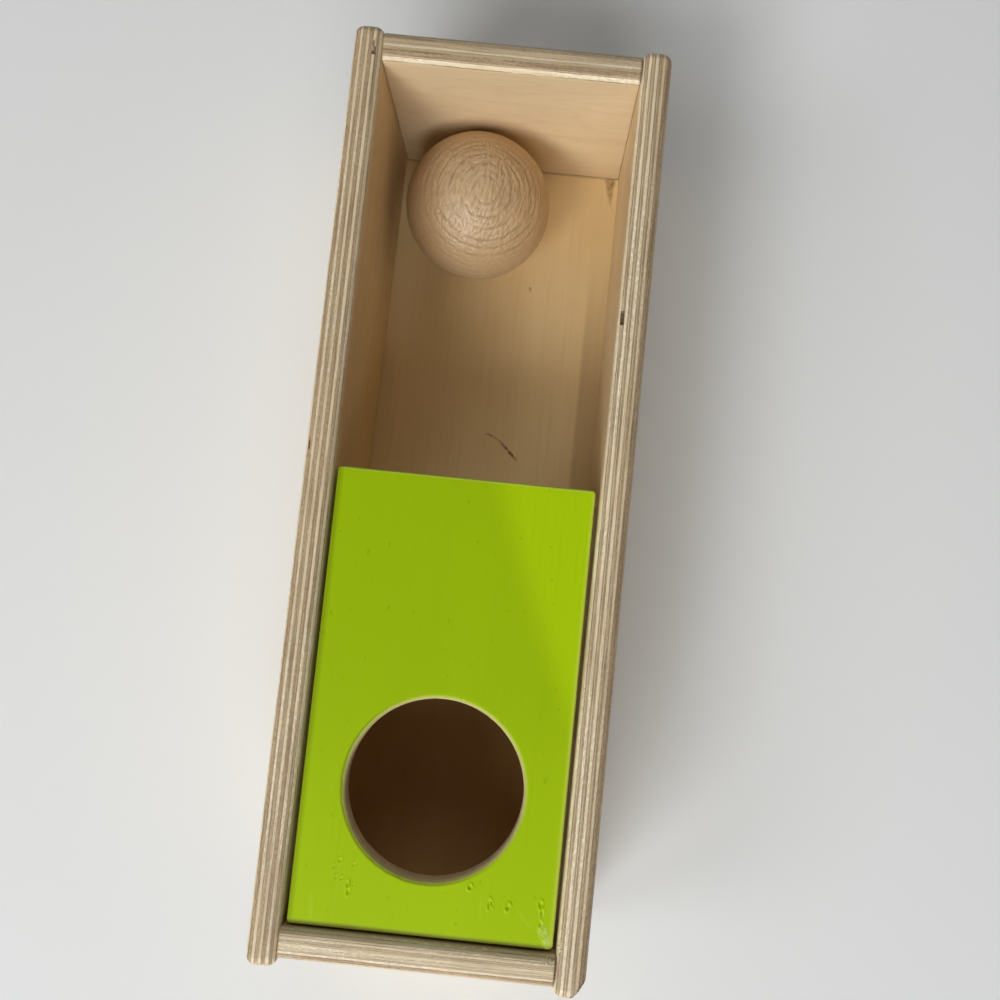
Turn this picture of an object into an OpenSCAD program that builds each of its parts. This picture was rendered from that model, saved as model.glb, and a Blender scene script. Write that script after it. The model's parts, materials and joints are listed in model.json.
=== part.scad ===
// Object permanence box: an open plywood box with a sloping floor, a painted
// cover over its near half with a ball hole, and a loose wooden ball.
// The near end is at -Y, the far end at +Y, and the box stands on Z = 0.

/* [Boards] */
// Thickness of the plywood side and end boards
board_t = 12; // [10:0.5:14]
// Width between the side boards
inner_w = 103; // [90:1:120]
// Length of the side boards
side_len = 366; // [340:1:400]
// Height of the side and end boards
box_h = 110; // [106:1:130]
// How far the far end board sits in from the ends of the side boards
far_inset = 2.2; // [1.6:0.1:8]
// How far the near end board sits in from the ends of the side boards
near_inset = 3.4; // [1.6:0.1:8]
// Radius of the rounded edges of the boards
edge_r = 4; // [2:0.25:4.5]

/* [Floor] */
// Thickness of the sloping floor
floor_t = 6; // [4:0.5:8]
// Height of the floor's upper face at its low far end
floor_low = 10.5; // [9:0.5:13]
// How much higher the floor is at the near end than at the far end
floor_rise = 17.5; // [8:0.5:18.5]
// Depth of the floor grooves in the side boards
groove_d = 4; // [3:0.25:5]

/* [Cover panel] */
// Length of the cover panel
panel_len = 173; // [150:1:190]
// Thickness of the cover panel
panel_t = 9; // [6:0.5:10]
// How far the panel's face lies below the tops of the boards
panel_drop = 3; // [1:0.5:3.5]
// Gap between the panel and each side board
panel_gap = 1.5; // [0.8:0.1:2]
// Gap between the panel and the near end board
panel_end_gap = 1; // [0.5:0.1:2]
// Angle by which the panel sits askew, in degrees
panel_skew = 0.1; // [0:0.05:0.2]
// Radius of the panel's corners in plan
panel_corner_r = 1.2; // [0.5:0.1:3]
// Radius of the panel's eased edges
panel_ease = 0.6; // [0.3:0.1:1]

/* [Ball hole] */
// Diameter of the ball hole
hole_d = 67.5; // [66:0.5:74]
// Distance from the panel's near edge to the hole's centre
hole_inset = 54.3; // [46:0.1:70]
// Radius of the rounded rim at the top of the hole
rim_r = 2; // [1:0.25:3]

/* [Panel rests] */
// Width of the strips that carry the panel
rest_w = 10; // [6:0.5:12]
// Height of the strips that carry the panel
rest_h = 10; // [6:0.5:12]
// How far the strips stop short of the panel's far edge
rest_setback = 6; // [2:1:20]
// Radius of the strips' free lower edge
rest_edge_r = 1.5; // [0.5:0.25:2.5]

/* [Dowels] */
// Diameter of the dowels that join the boards
dowel_d = 6; // [5:0.5:6]
// Length of each dowel
dowel_len = 27; // [20:1:34]
// Depth of the dowel holes in the side boards
dowel_side_depth = 8; // [6:0.5:9]
// Chamfer on the ends of the dowels
dowel_chamfer = 0.8; // [0.4:0.1:1.2]
// Number of dowels at each corner
dowel_count = 3; // [2:1:4]

/* [Ball] */
// Diameter of the ball
ball_d = 64.5; // [58:0.5:65]
// Gap between the ball, where it lies, and the left side board
ball_side_gap = 7; // [1:0.5:14]

/* [Hidden] */
$fn = 96;

// Overrun of a cut past the face it goes through
over = 1;
// Play above the floor in its groove, and at the floor's four edges
floor_play = 0.2;
// Radial glue gap round a dowel
dowel_fit = 0.05;
// Free space past each end of a dowel in its holes
dowel_end_gap = 0.5;
// Gap between the ball and what it lies on or against
ball_clear = 0.3;
// Margin, as a share of the board height, above and below the dowels
dowel_margin_share = 0.2;

half_w = inner_w / 2;
inner_far = side_len / 2 - far_inset - board_t;
inner_near = -side_len / 2 + near_inset + board_t;
inner_len = inner_far - inner_near;
// Middle of an end board's thickness. end is 1 for the far board and -1 for the near board.
function end_y(end) = end > 0 ? inner_far + board_t / 2 : inner_near - board_t / 2;

slope = atan(floor_rise / inner_len);
floor_depth_z = floor_t / cos(slope);
function floor_z(y) = floor_low + floor_rise * (inner_far - y) / inner_len;

panel_w = inner_w - 2 * panel_gap;
panel_near = inner_near + panel_end_gap;
panel_top = box_h - panel_drop;
panel_under = panel_top - panel_t;
hole_y = panel_near + hole_inset;
rest_len = panel_end_gap + panel_len - rest_setback;

dowel_r = dowel_d / 2;
dowel_end_depth = dowel_len - dowel_side_depth + 2 * dowel_end_gap;
dowel_low = box_h * dowel_margin_share;
dowel_pitch = (box_h - 2 * dowel_low) / (dowel_count - 1);

ball_r = ball_d / 2;
ball_x = -half_w + ball_side_gap + ball_r;
ball_y = inner_far - ball_r - ball_clear;
ball_z = floor_z(ball_y) + (ball_r + ball_clear) / cos(slope);

// A rectangle centred on the origin with round corners
module round_rect(size_x, size_y, r) {
    square([size_x - 2 * r, size_y], center = true);
    square([size_x, size_y - 2 * r], center = true);
    for (sx = [-1, 1])
        for (sy = [-1, 1])
            translate([sx * (size_x / 2 - r), sy * (size_y / 2 - r)])
                circle(r);
}

// A plate centred on the origin, with its upright corners rounded by corner_r
// and every other edge by face_r
module round_plate(size_x, size_y, size_z, corner_r, face_r) {
    intersection() {
        translate([0, 0, -size_z / 2])
            linear_extrude(size_z)
                round_rect(size_x, size_y, corner_r);
        translate([-size_x / 2, 0, 0])
            rotate([90, 0, 90])
                linear_extrude(size_x)
                    round_rect(size_y, size_z, face_r);
        translate([0, size_y / 2, 0])
            rotate([90, 0, 0])
                linear_extrude(size_y)
                    round_rect(size_x, size_z, face_r);
    }
}

// Places its children at each dowel height
module at_dowels() {
    for (i = [0 : dowel_count - 1])
        translate([0, 0, dowel_low + i * dowel_pitch])
            children();
}

// Dowel holes of one corner, running from the side board's hole bottom to the
// end board's hole bottom. side is -1 for left and 1 for right, end is -1 for
// near and 1 for far.
module dowel_holes(side, end) {
    translate([side * (half_w + dowel_side_depth), end_y(end), 0])
        at_dowels()
            rotate([0, -side * 90, 0])
                cylinder(h = dowel_side_depth + dowel_end_depth, r = dowel_r + dowel_fit);
}

// The floor's outline seen from the side, with room added above it and at its ends
module floor_outline(end_gap, room_above) {
    far_y = inner_far - end_gap;
    near_y = inner_near + end_gap;
    polygon([
        [near_y, floor_z(near_y) + room_above],
        [far_y, floor_z(far_y) + room_above],
        [far_y, floor_z(far_y) - floor_depth_z],
        [near_y, floor_z(near_y) - floor_depth_z]
    ]);
}

// A bar of the floor's outline across the box, width_x wide
module floor_bar(width_x, end_gap, room_above) {
    translate([-width_x / 2, 0, 0])
        rotate([90, 0, 90])
            linear_extrude(width_x)
                floor_outline(end_gap, room_above);
}

// side is -1 for the left board and 1 for the right board
module side_board(side) {
    color("burlywood")
        difference() {
            translate([side * (half_w + board_t / 2), 0, box_h / 2])
                round_plate(board_t, side_len, box_h, edge_r, edge_r);
            floor_bar(inner_w + 2 * groove_d, 0, floor_play);
            dowel_holes(side, 1);
            dowel_holes(side, -1);
        }
}

module left_side_board() { side_board(-1); }

module right_side_board() { side_board(1); }

// end is 1 for the far board and -1 for the near board
module end_board(end) {
    color("wheat")
        difference() {
            translate([-half_w, end_y(end), box_h / 2])
                rotate([90, 0, 90])
                    linear_extrude(inner_w)
                        round_rect(board_t, box_h, edge_r);
            dowel_holes(-1, end);
            dowel_holes(1, end);
        }
}

module far_end_board() { end_board(1); }

module near_end_board() { end_board(-1); }

module ramp_floor() {
    color("tan")
        floor_bar(inner_w + 2 * (groove_d - floor_play), floor_play, 0);
}

// What the rounded rim takes away from a square-edged hole, top at Z = 0
module rim_cut() {
    rotate_extrude()
        difference() {
            translate([hole_d / 2 - over, -rim_r])
                square([rim_r + over, rim_r + over]);
            translate([hole_d / 2 + rim_r, -rim_r])
                circle(rim_r);
        }
}

module cover_panel() {
    color("yellowgreen")
        translate([0, hole_y, 0])
            rotate([0, 0, panel_skew])
                difference() {
                    translate([0, panel_len / 2 - hole_inset, panel_top - panel_t / 2])
                        round_plate(panel_w, panel_len, panel_t, panel_corner_r, panel_ease);
                    translate([0, 0, panel_under - over])
                        cylinder(h = panel_t + 2 * over, d = hole_d);
                    translate([0, 0, panel_top])
                        rim_cut();
                }
}

// A strip under the panel's edge, glued to a side board
module panel_rest(side) {
    color("peru")
        translate([side * half_w, inner_near + rest_len, panel_under])
            rotate([90, 0, 0])
                linear_extrude(rest_len)
                    scale([-side, -1])
                        difference() {
                            square([rest_w, rest_h]);
                            translate([rest_w - rest_edge_r, rest_h - rest_edge_r])
                                difference() {
                                    square(rest_edge_r + over);
                                    circle(rest_edge_r);
                                }
                        }
}

module left_panel_rest() { panel_rest(-1); }

module right_panel_rest() { panel_rest(1); }

// One dowel along +Z with its lower end on the origin
module dowel() {
    cylinder(h = dowel_chamfer, r1 = dowel_r - dowel_chamfer, r2 = dowel_r);
    translate([0, 0, dowel_chamfer])
        cylinder(h = dowel_len - 2 * dowel_chamfer, r = dowel_r);
    translate([0, 0, dowel_len - dowel_chamfer])
        cylinder(h = dowel_chamfer, r1 = dowel_r, r2 = dowel_r - dowel_chamfer);
}

module corner_dowels(side, end) {
    color("sandybrown")
        translate([side * (half_w + dowel_side_depth - dowel_end_gap), end_y(end), 0])
            at_dowels()
                rotate([0, -side * 90, 0])
                    dowel();
}

module far_left_dowels() { corner_dowels(-1, 1); }

module far_right_dowels() { corner_dowels(1, 1); }

module near_left_dowels() { corner_dowels(-1, -1); }

module near_right_dowels() { corner_dowels(1, -1); }

module ball() {
    color("navajowhite")
        translate([ball_x, ball_y, ball_z])
            sphere(d = ball_d);
}

left_side_board();
right_side_board();
far_end_board();
near_end_board();
ramp_floor();
cover_panel();
left_panel_rest();
right_panel_rest();
far_left_dowels();
far_right_dowels();
near_left_dowels();
near_right_dowels();
ball();
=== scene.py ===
"""Looks of the object permanence box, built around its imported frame.

Metres throughout. The near end of the box is at -Y, the far end at +Y, and it stands on Z = 0.
"""
import json
from math import acos, cos, exp, hypot, radians, sin, tan

import bmesh
import bpy
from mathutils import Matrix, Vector
from mathutils.noise import noise


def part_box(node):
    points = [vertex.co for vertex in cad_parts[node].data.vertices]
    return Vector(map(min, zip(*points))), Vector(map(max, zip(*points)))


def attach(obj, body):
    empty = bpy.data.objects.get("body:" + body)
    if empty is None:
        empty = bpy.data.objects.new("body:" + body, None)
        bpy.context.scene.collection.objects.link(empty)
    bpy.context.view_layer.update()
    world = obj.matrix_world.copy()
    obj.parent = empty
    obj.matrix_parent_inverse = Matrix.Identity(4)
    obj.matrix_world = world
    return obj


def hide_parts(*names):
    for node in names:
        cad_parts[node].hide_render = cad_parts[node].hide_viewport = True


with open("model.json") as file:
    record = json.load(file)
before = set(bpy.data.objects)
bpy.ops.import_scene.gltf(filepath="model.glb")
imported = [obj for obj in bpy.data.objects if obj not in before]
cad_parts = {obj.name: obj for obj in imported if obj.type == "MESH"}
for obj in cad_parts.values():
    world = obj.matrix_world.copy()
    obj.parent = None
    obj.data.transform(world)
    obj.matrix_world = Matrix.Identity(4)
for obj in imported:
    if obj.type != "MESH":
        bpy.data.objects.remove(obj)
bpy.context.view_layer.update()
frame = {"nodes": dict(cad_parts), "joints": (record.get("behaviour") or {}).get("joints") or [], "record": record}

MM = 0.001


def mm(x, y, z=0):
    """A place or a size given in millimetres."""
    return Vector((x, y, z)) * MM


def held(value, low=0, high=1):
    """The value, held between low and high."""
    return max(low, min(high, value))


# The frame's own sizes and places
LEFT_LOW, LEFT_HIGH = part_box("left_side_board")
RIGHT_LOW, RIGHT_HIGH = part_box("right_side_board")
FAR_LOW, FAR_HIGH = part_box("far_end_board")
NEAR_LOW, NEAR_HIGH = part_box("near_end_board")
PANEL_LOW, PANEL_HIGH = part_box("cover_panel")
FLOOR_LOW, FLOOR_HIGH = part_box("ramp_floor")
BALL_LOW, BALL_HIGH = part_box("ball")
BALL_CENTRE = (BALL_LOW + BALL_HIGH) / 2
BALL_R = (BALL_HIGH.z - BALL_LOW.z) / 2
HOLE_MOUNT = next(m for m in frame["record"]["mounts"] if m["name"] == "ball_hole")
HOLE_CENTRE = Vector(HOLE_MOUNT["pos_m"])
HOLE_R = HOLE_MOUNT["dims"]["r_mm"] * MM

# The floor falls to the far end along the ball's own path
SLIDE = frame["joints"][0]["axis"]
SLOPE = -SLIDE[2] / SLIDE[1]


def floor_z(y):
    """The height of the floor's upper face at a place along the box."""
    return FLOOR_HIGH.z + SLOPE * (FLOOR_LOW.y - y)


FLOOR_DEPTH = FLOOR_HIGH.z - SLOPE * (FLOOR_HIGH.y - FLOOR_LOW.y) - FLOOR_LOW.z

# The radius of the boards' rounded edges
EDGE_R = 4 * MM

# Where each ply ends, in mm from a board's outer face, and how pale its edge is: 1 where its grain runs
# along the board, and 0 where it runs up. The paleness is also raised or lowered in places to paint in
# the light and shade that fall on the rounded edges
LEFT_PLIES = (
    (1.05, 0.95), (2.7, 0), (3.85, 0.78), (5.35, 0.12), (6.5, 0.85), (8.05, 0), (9.3, 1),
    (10.35, 0.15), (11.5, 1), (12, 0.6),
)
RIGHT_PLIES = (
    (0.9, 0.25), (2.6, 0), (3.8, 0.7), (4.4, 0), (5, 0.35), (5.35, 0.1), (6.65, 1), (7.2, 0.1),
    (7.8, 0.5), (8.15, 0.25), (9.4, 1), (10, 0.1), (10.5, 0.5), (10.75, 0.25), (11.85, 1),
    (12, 0.9),
)
FAR_PLIES = (
    (1.7, 0.15), (2.6, 0.45), (3.3, 0.2), (5.6, 0.35), (6.6, 0.95), (8, 0.35), (9.8, 0), (10.4, 0.25),
    (11.7, 1), (12, 0.7),
)
NEAR_PLIES = (
    (1.4, 0.5), (2.65, 0), (3.7, 0.85), (4.2, 0.5), (5.2, 0.9), (6.5, 1), (7.1, 0.7), (7.95, 0.3),
    (9.1, 1), (9.9, 0.95), (11, 0.55), (12, 0.85),
)

# Open voids in the plies of the side boards: centre, half-size, depth and darkness; the darkness is partly
# the wood in the void and partly painted shade inside it
RIGHT_VOIDS = ((mm(53.31, 74.4, 109.6), mm(0.85, 3.1, 4), 1.1 * MM, 0.92),)
LEFT_VOIDS = (
    (mm(-54.9, 174.6, 109.6), mm(0.5, 1.7, 4), 0.4 * MM, 0.62),
    (mm(-54.5, 172.6, 109.6), mm(0.6, 1.4, 4), 0.5 * MM, 0.72),
    (mm(-54.8, 170.9, 109.6), mm(0.9, 0.8, 4), 0.55 * MM, 0.9),
    (mm(-61.9, 13, 109), mm(0.3, 2.2, 4), 0.9 * MM, 0.9),
)

# The near outer corner of the right side board is knocked off along this upright plane, from
# BRUISE_Z up and in full BRUISE_FADE above it
BRUISE_OUT = Vector((0.819, -0.573, 0))
BRUISE_REACH = BRUISE_OUT.dot(Vector((63.2, -176, 0))) * MM
BRUISE_Z = 96 * MM
BRUISE_FADE = 7 * MM


# Colours

def linear(colour):
    """A colour as it looks on screen, from 0 to 255, in Blender's linear RGBA."""
    shares = [value / 255 for value in colour]
    return [s / 12.92 if s <= 0.04045 else ((s + 0.055) / 1.055) ** 2.4 for s in shares] + [1]


# Node graphs

class Graph:
    """The node tree of a material or a world, with a call for each kind of node used here."""

    def __init__(self, owner):
        self.owner = owner
        owner.use_nodes = True
        self.tree = owner.node_tree
        self.tree.nodes.clear()

    def node(self, kind, inputs=(), **settings):
        """A new node with its settings. inputs are in the sockets' order, or have their names."""
        made = self.tree.nodes.new("ShaderNode" + kind)
        for key, value in settings.items():
            setattr(made, key, value)
        for key, value in inputs.items() if isinstance(inputs, dict) else enumerate(inputs):
            if isinstance(value, bpy.types.NodeSocket):
                self.tree.links.new(value, made.inputs[key])
            elif value is not None:
                made.inputs[key].default_value = value
        return made

    def math(self, operation, a, b=None, c=None, clamp=False):
        return self.node("Math", (a, b, c), operation=operation, use_clamp=clamp).outputs[0]

    def plus(self, a, b, clamp=False):
        return self.math("ADD", a, b, clamp=clamp)

    def minus(self, a, b):
        return self.math("SUBTRACT", a, b)

    def times(self, a, b):
        return self.math("MULTIPLY", a, b)

    def swing(self, value, reach):
        """A noise moved to lie about 0, and reach wide."""
        return self.times(self.minus(value, 0.5), reach)

    def vector(self, operation, a, b=None):
        made = self.node("VectorMath", (a, b), operation=operation)
        return made.outputs["Value" if operation in ("DOT_PRODUCT", "LENGTH") else "Vector"]

    def coordinates(self, kind):
        return self.node("TexCoord").outputs[kind]

    def place(self):
        return self.coordinates("Object")

    def parts(self, vector):
        return tuple(self.node("SeparateXYZ", (vector,)).outputs)

    def whole(self, x, y, z):
        return self.node("CombineXYZ", (x, y, z)).outputs[0]

    def noise(self, vector, scale=1, detail=2, rough=0.5, distort=0):
        inputs = {"Vector": vector, "Scale": scale, "Detail": detail, "Roughness": rough}
        inputs["Distortion"] = distort
        return self.node("TexNoise", inputs, noise_dimensions="3D").outputs[0]

    def grained(self, parts, scales, detail=2, rough=0.5, distort=0):
        """A noise with a scale of its own along each axis."""
        stretched = self.whole(*(self.times(part, by) for part, by in zip(parts, scales)))
        return self.noise(stretched, 1, detail, rough, distort)

    def white(self, value):
        return self.node("TexWhiteNoise", {"W": value}, noise_dimensions="1D").outputs["Value"]

    def band(self, value, low, high, start=0, end=1, kind="SMOOTHSTEP"):
        """value from low to high becomes start to end, held at both ends."""
        inputs = (value, low, high, start, end)
        return self.node("MapRange", inputs, interpolation_type=kind).outputs[0]

    def past(self, value, plane, low, high, start=0, end=1):
        """The same, with low and high in mm past a plane."""
        return self.band(value, plane + low * MM, plane + high * MM, start, end)

    def mix(self, share, a, b):
        """A mix of two colours: sockets, linear lists, or tuples as they look on screen."""
        a, b = [linear(side) if isinstance(side, tuple) else side for side in (a, b)]
        return self.node("Mix", {0: share, 6: a, 7: b}, data_type="RGBA").outputs[2]

    def block(self, place, centre, size):
        """1 inside the box of those half-sizes about centre, with a narrow soft edge."""
        away = self.vector("DIVIDE", self.vector("SUBTRACT", place, centre), size)
        x, y, z = self.parts(self.vector("ABSOLUTE", away))
        return self.band(self.math("MAXIMUM", self.math("MAXIMUM", x, y), z), 0.78, 1, 1, 0)

    def segment(self, place, start, end, half_width):
        """1 along the straight stroke from start to end, fading out at half_width from it."""
        along = end - start
        out = self.vector("SUBTRACT", place, start)
        reached = self.vector("DOT_PRODUCT", out, along)
        share = self.math("DIVIDE", reached, along.length_squared, clamp=True)
        nearest = self.node("VectorMath", {0: along, "Scale": share}, operation="SCALE")
        gap = self.vector("LENGTH", self.vector("SUBTRACT", out, nearest.outputs[0]))
        return self.band(gap, half_width * 0.35, half_width, 1, 0)

    def side_of(self, x, y, start, end, soft):
        """1 to the left of the line from start to end in plan, 0 to its right."""
        run = Vector((end[0] - start[0], end[1] - start[1])).normalized()
        across = self.plus(self.times(x, -run.y), self.times(y, run.x))
        line = -start[0] * run.y + start[1] * run.x
        return self.band(across, line - soft, line + soft)

    def kept(self, name):
        """A value kept on the mesh's own points."""
        return self.node("Attribute", attribute_name=name).outputs["Fac"]

    def bump(self, height, strength, distance):
        inputs = {"Strength": strength, "Distance": distance, "Height": height}
        return self.node("Bump", inputs).outputs[0]

    def shade(self, colour, roughness, normal, specular=0.5, glow=None):
        """The material of that finish. glow is the strength of its own light."""
        inputs = {"Base Color": colour, "Roughness": roughness, "Normal": normal}
        inputs["Specular IOR Level"] = specular
        if glow is not None:
            inputs.update({"Emission Color": HORIZON, "Emission Strength": glow})
        shader = self.node("BsdfPrincipled", inputs)
        self.node("OutputMaterial", (shader.outputs[0],))
        return self.owner


def material_graph(name):
    return Graph(bpy.data.materials.new(name))


# Plywood

# The pale and the dark shade of the outer veneers
FACES = ((236, 210, 167), (229, 201, 155))
FAR_FACES = ((234, 210, 171), (226, 200, 159))
GRAIN_LINE = (196, 160, 114)
CONTOUR_LINE = (190, 150, 104)
FLECK = (188, 150, 104)
# The plies' edges, where their grain runs along the board and where it crosses it
LONG_PLY = ((252, 235, 200), (234, 209, 167))
LONG_PLY_STREAK = (196, 164, 118)
# Painted glints: a highlight put into the colour of the long plies' edges
GLINT = (255, 246, 216)
CROSS_PLY = ((198, 174, 138), (162, 134, 100))
CROSS_PLY_GLEAM = (218, 194, 154)
CROSS_PLY_STREAK = (130, 102, 72)
DULL_PLY = (164, 134, 98)
DULL_PATCH = (132, 102, 68)
GLUE_LINE = (104, 78, 52)
# Brown of the dark joints, and of the voids, where it is partly painted shade
VOID_SHADE_AND_JOINT_BROWN = (98, 70, 44)
DIRT = (92, 76, 58)

# Noises in a board: scales across it, along it and up it, then detail, roughness and distortion
WANDER = ((70, 16, 16), 3)
JAG = ((500, 420, 420),)
STREAKS = ((3600, 120, 1800), 3, 0.62)
LONG_STREAKS = ((1500, 34, 700), 4, 0.6)
PORES = ((2600, 700, 1500), 2, 0.7)
PATCHES = ((500, 26, 60),)
GLINTS = ((1500, 460, 1100), 2, 0.6)
CLUSTERS = ((90, 22, 40),)
FIGURE = ((60, 5, 26), 2, 0.5, 0.4)
FINE_FIGURE = ((300, 14, 420), 4, 0.6)
FLECKS = ((900, 110, 2400),)
GLUE_GAPS = 60
CONTOURS = 13

# In mm: how far the plies stray from their planes, slowly and finely, half the width over which one
# passes into the next, and more than any distance to a glue line
WANDER_REACH = 0.26
JAG_REACH = 0.24
PLY_BLEND = 0.09
FAR_FROM_GLUE = 9


def ply_stack(g, depth, plies):
    """The ply at that depth in mm: its number, its paleness, and the distance to the nearest glue line."""
    ply = 0
    pale = plies[0][1]
    from_glue = FAR_FROM_GLUE
    for (end, paleness), (_, next_paleness) in zip(plies, plies[1:]):
        passed = g.band(depth, end - PLY_BLEND, end + PLY_BLEND)
        ply = g.plus(g.math("GREATER_THAN", depth, end), ply)
        pale = g.math("MULTIPLY_ADD", passed, next_paleness - paleness, pale)
        from_glue = g.math("MINIMUM", g.math("ABSOLUTE", g.minus(depth, end)), from_glue)
    return ply, pale, from_glue


def veneer_face(g, board, veneers, fine_figure):
    """The colour of the outer veneer: its figure in contour lines, fine grain and flecks."""
    figure = g.grained(board, *FIGURE)
    face = g.mix(g.band(figure, 0.3, 0.7), *veneers)
    face = g.mix(g.band(fine_figure, 0.45, 0.8, 0, 0.16), face, GRAIN_LINE)
    contours = g.math("PINGPONG", g.times(figure, CONTOURS), 0.5)
    face = g.mix(g.band(contours, 0, 0.2, 0.1, 0), face, CONTOUR_LINE)
    return g.mix(g.band(g.grained(board, *FLECKS), 0.58, 0.7, 0, 0.22), face, FLECK)


def ply_edge(g, board, end_grain, tone, streaks, pores, glint):
    """The colour of the plies' sanded edges, streaked along the board, with painted glints on the long plies."""
    long_streaks = g.grained(board, *LONG_STREAKS)
    long_ply = g.mix(g.band(streaks, 0.32, 0.68), *LONG_PLY)
    long_ply = g.mix(g.band(long_streaks, 0.5, 0.68, 0, 0.45), long_ply, LONG_PLY_STREAK)
    long_ply = g.mix(glint, long_ply, GLINT)
    cross_ply = g.mix(g.band(pores, 0.36, 0.66), *CROSS_PLY)
    cross_ply = g.mix(g.band(streaks, 0.48, 0.66, 0, 0.5), cross_ply, CROSS_PLY_GLEAM)
    cross_ply = g.mix(g.band(long_streaks, 0.45, 0.66, 0, 0.6), cross_ply, CROSS_PLY_STREAK)
    edge = g.mix(end_grain, long_ply, cross_ply)
    edge = g.mix(g.band(tone, 0, 1, 0, 0.14), edge, DULL_PLY)
    return g.mix(g.band(g.grained(board, *PATCHES), 0.52, 0.74, 0, 0.3), edge, DULL_PATCH)


def glue_lines(g, board, ply, from_glue):
    """How much of the glue line shows, which comes and goes along each one."""
    _, length, up = board
    gaps = g.noise(g.whole(ply, g.times(length, GLUE_GAPS), g.times(up, GLUE_GAPS)))
    return g.times(g.band(from_glue, 0.04, 0.16, 1, 0), g.band(gaps, 0.38, 0.62, 0.1, 0.7))


def marked(g, place, marks, colour):
    """That colour with the voids, darkened partly with painted shade, and the dark joints in it."""
    spots = [g.times(g.block(place, centre, size), darkness) for centre, size, _, darkness in marks]
    shown = spots[0]
    for spot in spots[1:]:
        shown = g.math("MAXIMUM", shown, spot)
    return g.mix(shown, colour, VOID_SHADE_AND_JOINT_BROWN)


def bruised(g, place, up, colour):
    """That colour with dirt in the crumbled fibres of the knocked-off corner, and specks beside it."""
    beyond = g.vector("DOT_PRODUCT", place, BRUISE_OUT)
    dirt = g.noise(place, scale=1300, detail=3, rough=0.7)
    grit = g.band(dirt, 0.38, 0.62, 0.3, 0.8)
    broken = g.past(beyond, BRUISE_REACH, -1.2, -0.4, 0, 0.9)
    beside = g.past(beyond, BRUISE_REACH, -3.4, -1, 0, 0.5)
    hurt = g.times(broken, grit)
    hurt = g.math("MAXIMUM", hurt, g.times(g.band(dirt, 0.54, 0.66), beside))
    hurt = g.times(hurt, g.past(up, BRUISE_Z, 1, 9))
    return g.mix(hurt, colour, DIRT)


def plywood(name, stack, along, outer_face, inward, plies, marks, veneers=FACES, hurt=False):
    """Birch plywood as a solid: plies stacked inward from the outer face, their grain in turn along
    the board and up it. stack and along are the axes across the board and along it."""
    g = material_graph(name)
    place = g.place()
    xyz = g.parts(place)
    up = xyz[2]
    board = (xyz[stack], xyz[along], up)
    depth = g.times(g.minus(xyz[stack], outer_face), inward / MM)
    depth = g.plus(depth, g.swing(g.grained(board, *WANDER), WANDER_REACH))
    depth = g.plus(depth, g.swing(g.grained(board, *JAG), JAG_REACH))
    ply, pale, from_glue = ply_stack(g, depth, plies)
    tone = g.white(g.plus(ply, outer_face * 900))

    facing = g.parts(g.coordinates("Normal"))
    shows_length = g.math("POWER", g.math("ABSOLUTE", facing[along]), 4)
    crossing = g.times(g.minus(1, pale), g.minus(1, shows_length))
    end_grain = g.plus(crossing, g.times(pale, shows_length), clamp=True)
    flat = g.band(g.math("ABSOLUTE", facing[stack]), 0.92, 0.99)

    streaks = g.grained(board, *STREAKS)
    pores = g.grained(board, *PORES)
    fine_figure = g.grained(board, *FINE_FIGURE)
    glint = g.band(g.grained(board, *GLINTS), 0.5, 0.58)
    glint = g.times(glint, g.band(g.grained(board, *CLUSTERS), 0.4, 0.58, 0.2, 1))
    glue = glue_lines(g, board, ply, from_glue)
    edge = g.mix(glue, ply_edge(g, board, end_grain, tone, streaks, pores, glint), GLUE_LINE)
    colour = g.mix(flat, edge, veneer_face(g, board, veneers, fine_figure))
    colour = marked(g, place, marks, colour)
    if hurt:
        colour = bruised(g, place, up, colour)

    relief = g.plus(g.times(streaks, 0.45), g.times(pores, end_grain))
    relief = g.minus(relief, g.times(glue, 0.6))
    on_edge = g.minus(1, g.times(flat, 0.85))
    normal = g.bump(g.times(relief, on_edge), 0.5, 0.1 * MM)
    roughness = g.plus(g.times(end_grain, 0.16), g.times(fine_figure, 0.2))
    roughness = g.plus(roughness, g.math("MULTIPLY_ADD", glint, -0.1, 0.33))
    return g.shade(colour, roughness, normal, 0.42)


# Floor, paint and small woods

def scratched(g, place, scratches, on, ragged, colour, tint):
    """That colour with ragged straight scratches over it. on lifts a place in plan to the surface."""
    for x0, y0, x1, y1, half_width, strength in scratches:
        stroke = g.segment(place, on(x0, y0), on(x1, y1), half_width * MM)
        colour = g.mix(g.times(g.times(stroke, ragged), strength), colour, tint)
    return colour


def on_floor(x, y):
    """The point of the floor's upper face at a place in plan, given in mm."""
    return Vector((x * MM, y * MM, floor_z(y * MM)))


def on_panel(x, y):
    """The point of the panel's painted face at a place in plan, given in mm."""
    return mm(x, y, 107)


# Scratches on the floor, in mm in plan: x and y at both ends, half-width and darkness
FLOOR_SCRATCHES = (
    (1.3, 37.4, 3.7, 36.7, 0.7, 0.55),
    (4.6, 36.4, 8, 34.2, 0.6, 0.4),
    (8, 34.2, 10.6, 31.8, 0.8, 0.6),
    (10.6, 31.8, 12.9, 29.5, 0.8, 0.75),
    (12.9, 29.5, 15.6, 26.9, 0.95, 0.85),
    (14.2, 110.2, 14.4, 108.8, 0.8, 0.7),
)
# A stain in the floor's far right corner: a triangle in plan, listed anticlockwise
STAIN = ((44.6 * MM, 167.4 * MM), (48.9 * MM, 154.4 * MM), (49.8 * MM, 170.5 * MM))
# A painted reflection of the right side board darkens the floor from here to that board, up to where this fades
# out
WALL_REFLECTION_X = 42 * MM
WALL_REFLECTION_FADE = (60 * MM, 150 * MM)

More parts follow.
